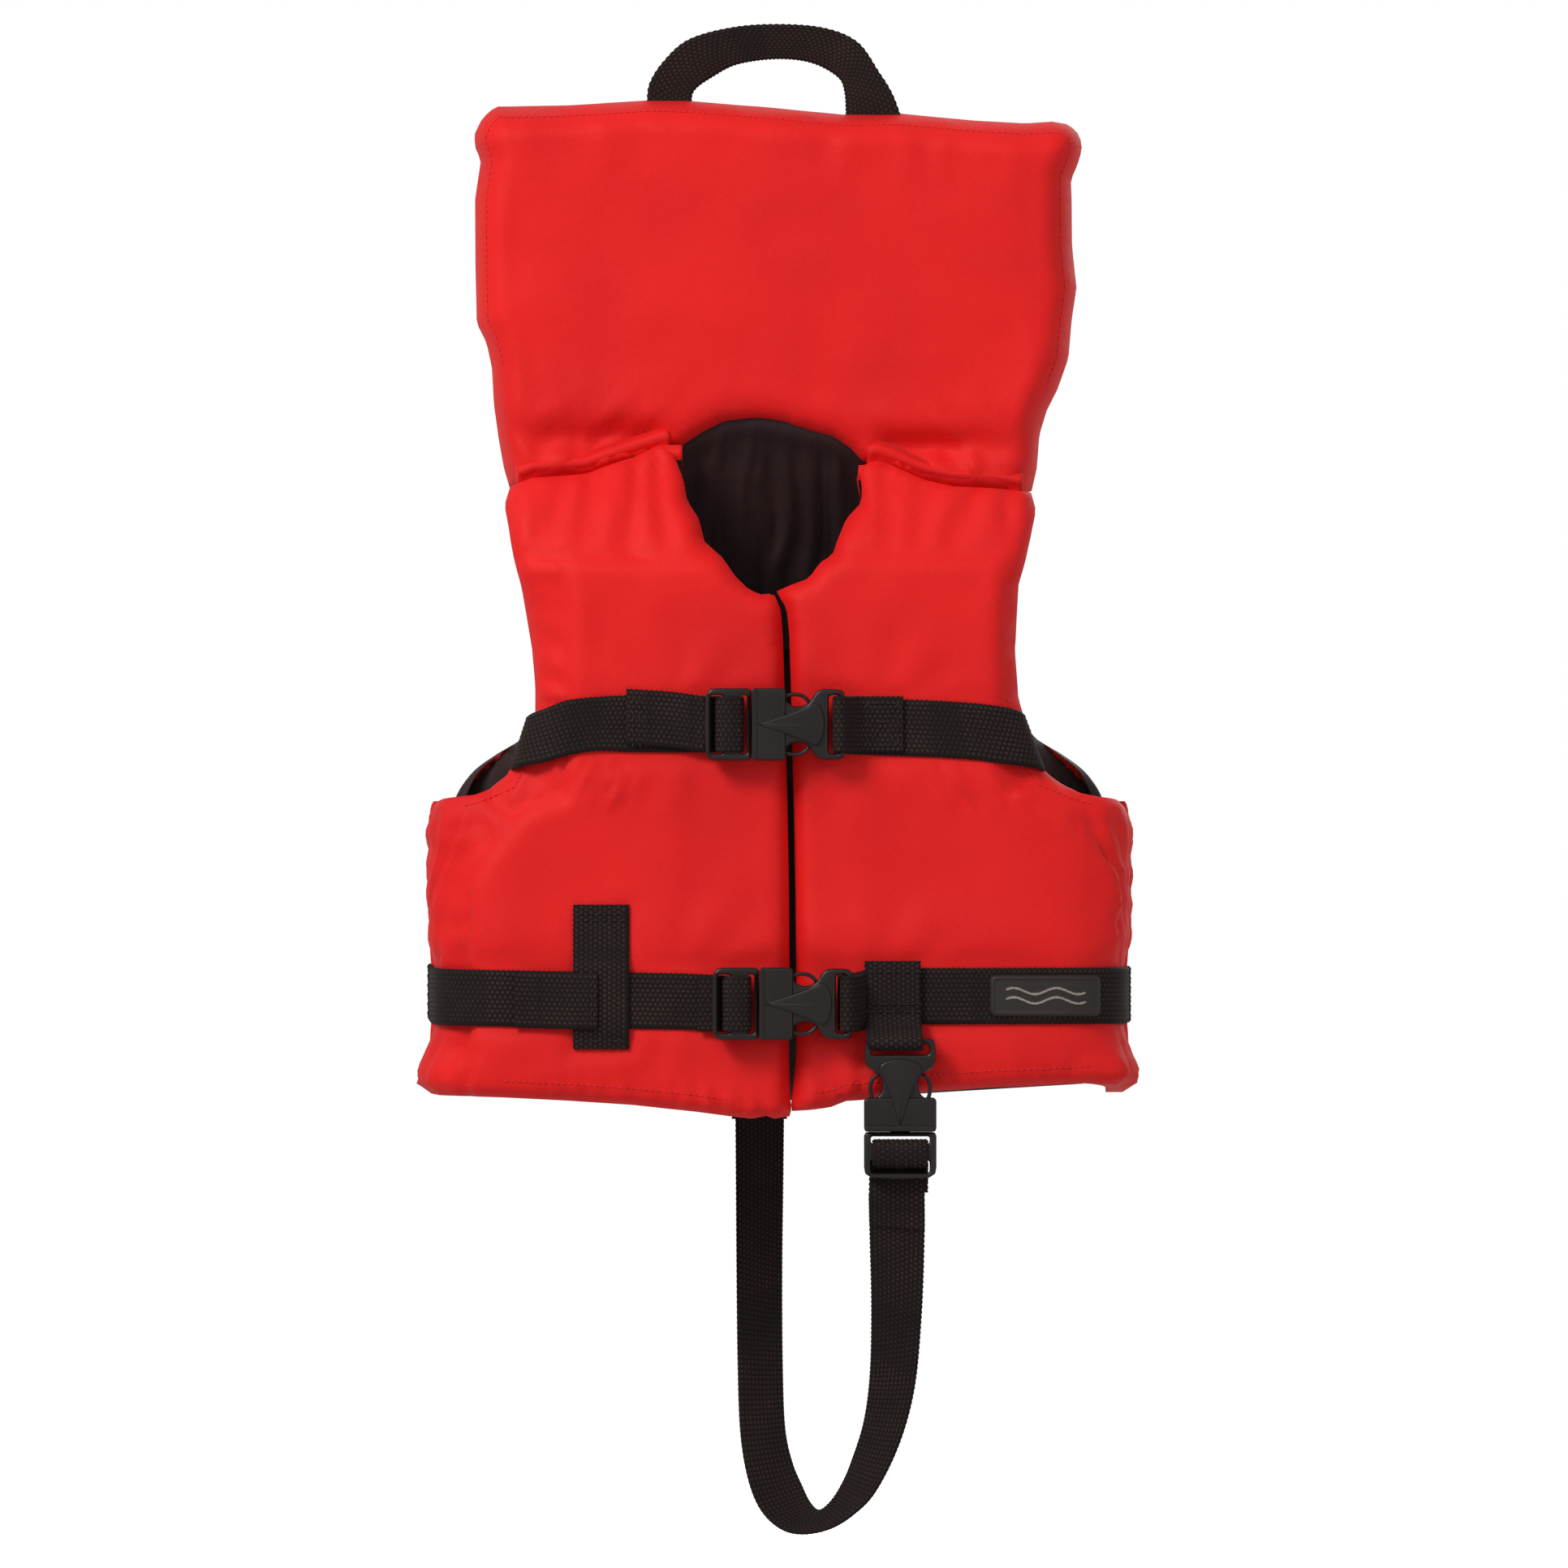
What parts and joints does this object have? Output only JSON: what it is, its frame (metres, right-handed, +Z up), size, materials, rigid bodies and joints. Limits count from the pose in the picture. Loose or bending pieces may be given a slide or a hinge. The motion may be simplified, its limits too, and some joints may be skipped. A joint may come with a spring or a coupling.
{
  "type": "life jacket",
  "caption": "Child's red vest life jacket with a padded head collar, grab handle, black webbing belts, side-release buckles and a crotch strap.",
  "frame": {"origin": "inner top of the grab handle's loop, in the handle's plane, where a hook or hand carries the jacket", "axes": "+Z up along the wearer's spine, +X to the viewer's right when facing the front, the front faces -Y"},
  "size_m": [0.3334, 0.163, 0.6846],
  "materials": {
    "red_nylon": "satin plain-weave nylon",
    "black_lining": "matte black nylon",
    "webbing": "ribbed black polypropylene webbing",
    "buckle_plastic": "semi-matte moulded acetal",
    "foam": "closed-cell polyethylene foam",
    "patch_rubber": "matte moulded rubber, blank"
  },
  "bodies": {
    "handle": {"grab_handle": "webbing"},
    "collar": {"collar_front_cover": "red_nylon", "collar_back_cover": "red_nylon", "collar_foam_front": "foam", "collar_foam_back": "foam"},
    "back": {"back_shell": "red_nylon", "back_lining": "black_lining", "back_foam_inner": "foam", "back_foam_outer": "foam", "neck_lining": "black_lining", "neck_band": "red_nylon", "shoulder_left": "red_nylon", "shoulder_right": "red_nylon", "lower_belt_back": "webbing", "back_loop_left": "webbing", "back_loop_right": "webbing", "crotch_strap": "webbing", "crotch_anchor": "webbing"},
    "left_front": {"left_front_shell": "red_nylon", "left_front_lining": "black_lining", "left_foam_outer": "foam", "left_foam_inner": "foam", "left_side_panel": "red_nylon", "upper_belt_left": "webbing", "upper_belt_tail": "webbing", "lower_belt_left": "webbing", "lower_belt_tail": "webbing", "keeper_tab": "webbing"},
    "right_front": {"right_front_shell": "red_nylon", "right_front_lining": "black_lining", "right_foam_outer": "foam", "right_foam_inner": "foam", "right_side_panel": "red_nylon", "upper_belt_right": "webbing", "upper_belt_fold": "webbing", "lower_belt_right": "webbing", "crotch_tab": "webbing", "name_patch": "patch_rubber", "upper_socket": "buckle_plastic", "lower_socket": "buckle_plastic", "crotch_socket": "buckle_plastic"},
    "upper_male": {"upper_plug": "buckle_plastic", "upper_wrap": "webbing"},
    "lower_male": {"lower_plug": "buckle_plastic", "lower_wrap": "webbing"},
    "crotch_male": {"crotch_plug": "buckle_plastic", "crotch_wrap": "webbing"},
    "upper_pinch_a": {"upper_arm_a": "buckle_plastic"},
    "upper_pinch_b": {"upper_arm_b": "buckle_plastic"},
    "lower_pinch_a": {"lower_arm_a": "buckle_plastic"},
    "lower_pinch_b": {"lower_arm_b": "buckle_plastic"},
    "crotch_pinch_a": {"crotch_arm_a": "buckle_plastic"},
    "crotch_pinch_b": {"crotch_arm_b": "buckle_plastic"}
  },
  "joints": [
    {"name": "handle_swing", "type": "hinge", "parent": "handle", "child": "collar", "pos_m": [0, 0, -0.018], "axis": [1, 0, 0], "range_deg": [-60, 60]},
    {"name": "collar_fold", "type": "hinge", "parent": "collar", "child": "back", "pos_m": [0, 0.006, -0.196], "axis": [1, 0, 0], "range_deg": [0, 50], "deforming": ["neck_band", "neck_lining"]},
    {"name": "left_open", "type": "hinge", "parent": "back", "child": "left_front", "pos_m": [-0.1635, 0.048, -0.4], "axis": [0, 0, -1], "range_deg": [0, 45], "deforming": ["shoulder_left"]},
    {"name": "right_open", "type": "hinge", "parent": "back", "child": "right_front", "pos_m": [0.1635, 0.048, -0.4], "axis": [0, 0, 1], "range_deg": [0, 45], "deforming": ["shoulder_right", "crotch_strap"]},
    {"name": "upper_release", "type": "slide", "parent": "left_front", "child": "upper_male", "axis": [-1, 0, 0], "range_m": [0, 0.03]},
    {"name": "upper_pinch_a", "type": "slide", "parent": "upper_male", "child": "upper_pinch_a", "axis": [0, 0, -1], "range_m": [0, 0.0025], "stiffness_N_per_m": 1500},
    {"name": "upper_pinch_b", "type": "slide", "parent": "upper_male", "child": "upper_pinch_b", "axis": [0, 0, 1], "range_m": [0, 0.0025], "stiffness_N_per_m": 1500},
    {"name": "lower_release", "type": "slide", "parent": "left_front", "child": "lower_male", "axis": [-1, 0, 0], "range_m": [0, 0.03]},
    {"name": "lower_pinch_a", "type": "slide", "parent": "lower_male", "child": "lower_pinch_a", "axis": [0, 0, -1], "range_m": [0, 0.0025], "stiffness_N_per_m": 1500},
    {"name": "lower_pinch_b", "type": "slide", "parent": "lower_male", "child": "lower_pinch_b", "axis": [0, 0, 1], "range_m": [0, 0.0025], "stiffness_N_per_m": 1500},
    {"name": "crotch_release", "type": "slide", "parent": "right_front", "child": "crotch_male", "axis": [0, 0, -1], "range_m": [0, 0.03]},
    {"name": "crotch_pinch_a", "type": "slide", "parent": "crotch_male", "child": "crotch_pinch_a", "axis": [1, 0, 0], "range_m": [0, 0.0025], "stiffness_N_per_m": 1500},
    {"name": "crotch_pinch_b", "type": "slide", "parent": "crotch_male", "child": "crotch_pinch_b", "axis": [-1, 0, 0], "range_m": [0, 0.0025], "stiffness_N_per_m": 1500}
  ],
  "couplings": [
    {"joint": "upper_pinch_b", "follows": "upper_pinch_a", "ratio": 1},
    {"joint": "lower_pinch_b", "follows": "lower_pinch_a", "ratio": 1},
    {"joint": "crotch_pinch_b", "follows": "crotch_pinch_a", "ratio": 1}
  ]
}
